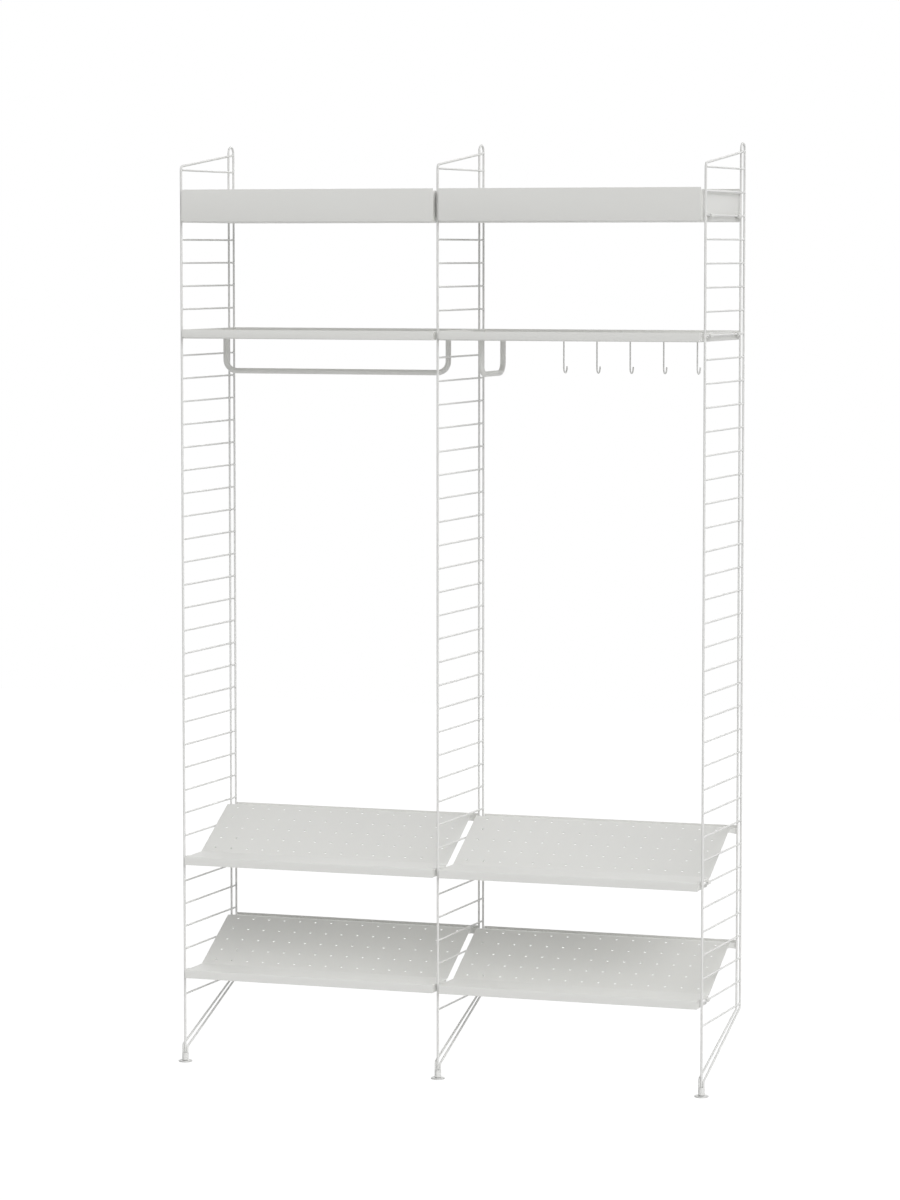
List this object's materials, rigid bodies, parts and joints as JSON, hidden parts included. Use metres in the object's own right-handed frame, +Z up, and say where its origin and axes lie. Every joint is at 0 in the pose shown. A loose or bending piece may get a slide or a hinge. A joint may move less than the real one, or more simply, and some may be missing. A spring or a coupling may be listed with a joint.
{
  "type": "hallway shelf",
  "caption": "White steel hall unit: wire ladder panels carrying folded trays and tilted shoe shelves, with a hanging rail, a side rail and swivelling coat hooks.",
  "frame": {"origin": "on the floor, under the middle of the whole unit's width and depth", "axes": "+Z up, +X to the right along the wall as seen from the room, +Y to the wall"},
  "size_m": [1.21, 0.3123, 2.0072],
  "materials": {
    "wire_coat": "satin",
    "sheet_coat": "satin",
    "rail_coat": "satin",
    "hook_coat": "satin",
    "foot_metal": "satin",
    "screw_steel": "zinc plated"
  },
  "bodies": {
    "wire_panels": {"left_front_wire": "wire_coat", "left_rear_hairpin": "wire_coat", "left_rungs": "wire_coat", "left_foot_sleeve": "wire_coat", "middle_front_wire": "wire_coat", "middle_rear_hairpin": "wire_coat", "middle_rungs": "wire_coat", "middle_foot_sleeve": "wire_coat", "right_front_wire": "wire_coat", "right_rear_hairpin": "wire_coat", "right_rungs": "wire_coat", "right_foot_sleeve": "wire_coat"},
    "foot_left": {"left_levelling_foot": "foot_metal"},
    "foot_middle": {"middle_levelling_foot": "foot_metal"},
    "foot_right": {"right_levelling_foot": "foot_metal"},
    "high_tray_left": {"high_tray_left": "sheet_coat"},
    "high_tray_right": {"high_tray_right": "sheet_coat"},
    "low_tray_left": {"low_tray_left": "sheet_coat", "hanging_rail": "rail_coat", "hanging_rail_plugs": "screw_steel", "hanging_rail_screws": "screw_steel"},
    "low_tray_right": {"low_tray_right": "sheet_coat", "side_rail": "rail_coat", "side_rail_plugs": "screw_steel", "side_rail_screws": "screw_steel"},
    "shoe_shelf_upper_left": {"shoe_shelf_upper_left": "sheet_coat"},
    "shoe_shelf_upper_right": {"shoe_shelf_upper_right": "sheet_coat"},
    "shoe_shelf_lower_left": {"shoe_shelf_lower_left": "sheet_coat"},
    "shoe_shelf_lower_right": {"shoe_shelf_lower_right": "sheet_coat"},
    "coat_hook_1": {"coat_hook_1": "hook_coat"},
    "coat_hook_2": {"coat_hook_2": "hook_coat"},
    "coat_hook_3": {"coat_hook_3": "hook_coat"},
    "coat_hook_4": {"coat_hook_4": "hook_coat"},
    "coat_hook_5": {"coat_hook_5": "hook_coat"}
  },
  "joints": [
    {"name": "foot_left_screw_out", "type": "slide", "parent": "wire_panels", "child": "foot_left", "axis": [0, 0, 1], "range_m": [-0.01, 0]},
    {"name": "foot_middle_screw_out", "type": "slide", "parent": "wire_panels", "child": "foot_middle", "axis": [0, 0, 1], "range_m": [-0.01, 0]},
    {"name": "foot_right_screw_out", "type": "slide", "parent": "wire_panels", "child": "foot_right", "axis": [0, 0, 1], "range_m": [-0.01, 0]},
    {"name": "high_tray_left_lift_off", "type": "slide", "parent": "wire_panels", "child": "high_tray_left", "axis": [0, 0, 1], "range_m": [0, 0.02]},
    {"name": "high_tray_right_lift_off", "type": "slide", "parent": "wire_panels", "child": "high_tray_right", "axis": [0, 0, 1], "range_m": [0, 0.02]},
    {"name": "low_tray_left_lift_off", "type": "slide", "parent": "wire_panels", "child": "low_tray_left", "axis": [0, 0, 1], "range_m": [0, 0.02]},
    {"name": "low_tray_right_lift_off", "type": "slide", "parent": "wire_panels", "child": "low_tray_right", "axis": [0, 0, 1], "range_m": [0, 0.02]},
    {"name": "shoe_shelf_upper_left_lift_off", "type": "slide", "parent": "wire_panels", "child": "shoe_shelf_upper_left", "axis": [0, 0, 1], "range_m": [0, 0.02]},
    {"name": "shoe_shelf_upper_right_lift_off", "type": "slide", "parent": "wire_panels", "child": "shoe_shelf_upper_right", "axis": [0, 0, 1], "range_m": [0, 0.02]},
    {"name": "shoe_shelf_lower_left_lift_off", "type": "slide", "parent": "wire_panels", "child": "shoe_shelf_lower_left", "axis": [0, 0, 1], "range_m": [0, 0.02]},
    {"name": "shoe_shelf_lower_right_lift_off", "type": "slide", "parent": "wire_panels", "child": "shoe_shelf_lower_right", "axis": [0, 0, 1], "range_m": [0, 0.02]},
    {"name": "coat_hook_1_swivel", "type": "hinge", "parent": "low_tray_right", "child": "coat_hook_1", "pos_m": [0.2204, 0.04587, 1.5882], "axis": [0, 0, 1], "continuous": true},
    {"name": "coat_hook_2_swivel", "type": "hinge", "parent": "low_tray_right", "child": "coat_hook_2", "pos_m": [0.295, 0.04587, 1.5882], "axis": [0, 0, 1], "continuous": true},
    {"name": "coat_hook_3_swivel", "type": "hinge", "parent": "low_tray_right", "child": "coat_hook_3", "pos_m": [0.3696, 0.04587, 1.5882], "axis": [0, 0, 1], "continuous": true},
    {"name": "coat_hook_4_swivel", "type": "hinge", "parent": "low_tray_right", "child": "coat_hook_4", "pos_m": [0.4442, 0.04587, 1.5882], "axis": [0, 0, 1], "continuous": true},
    {"name": "coat_hook_5_swivel", "type": "hinge", "parent": "low_tray_right", "child": "coat_hook_5", "pos_m": [0.5188, 0.04587, 1.5882], "axis": [0, 0, 1], "continuous": true}
  ]
}
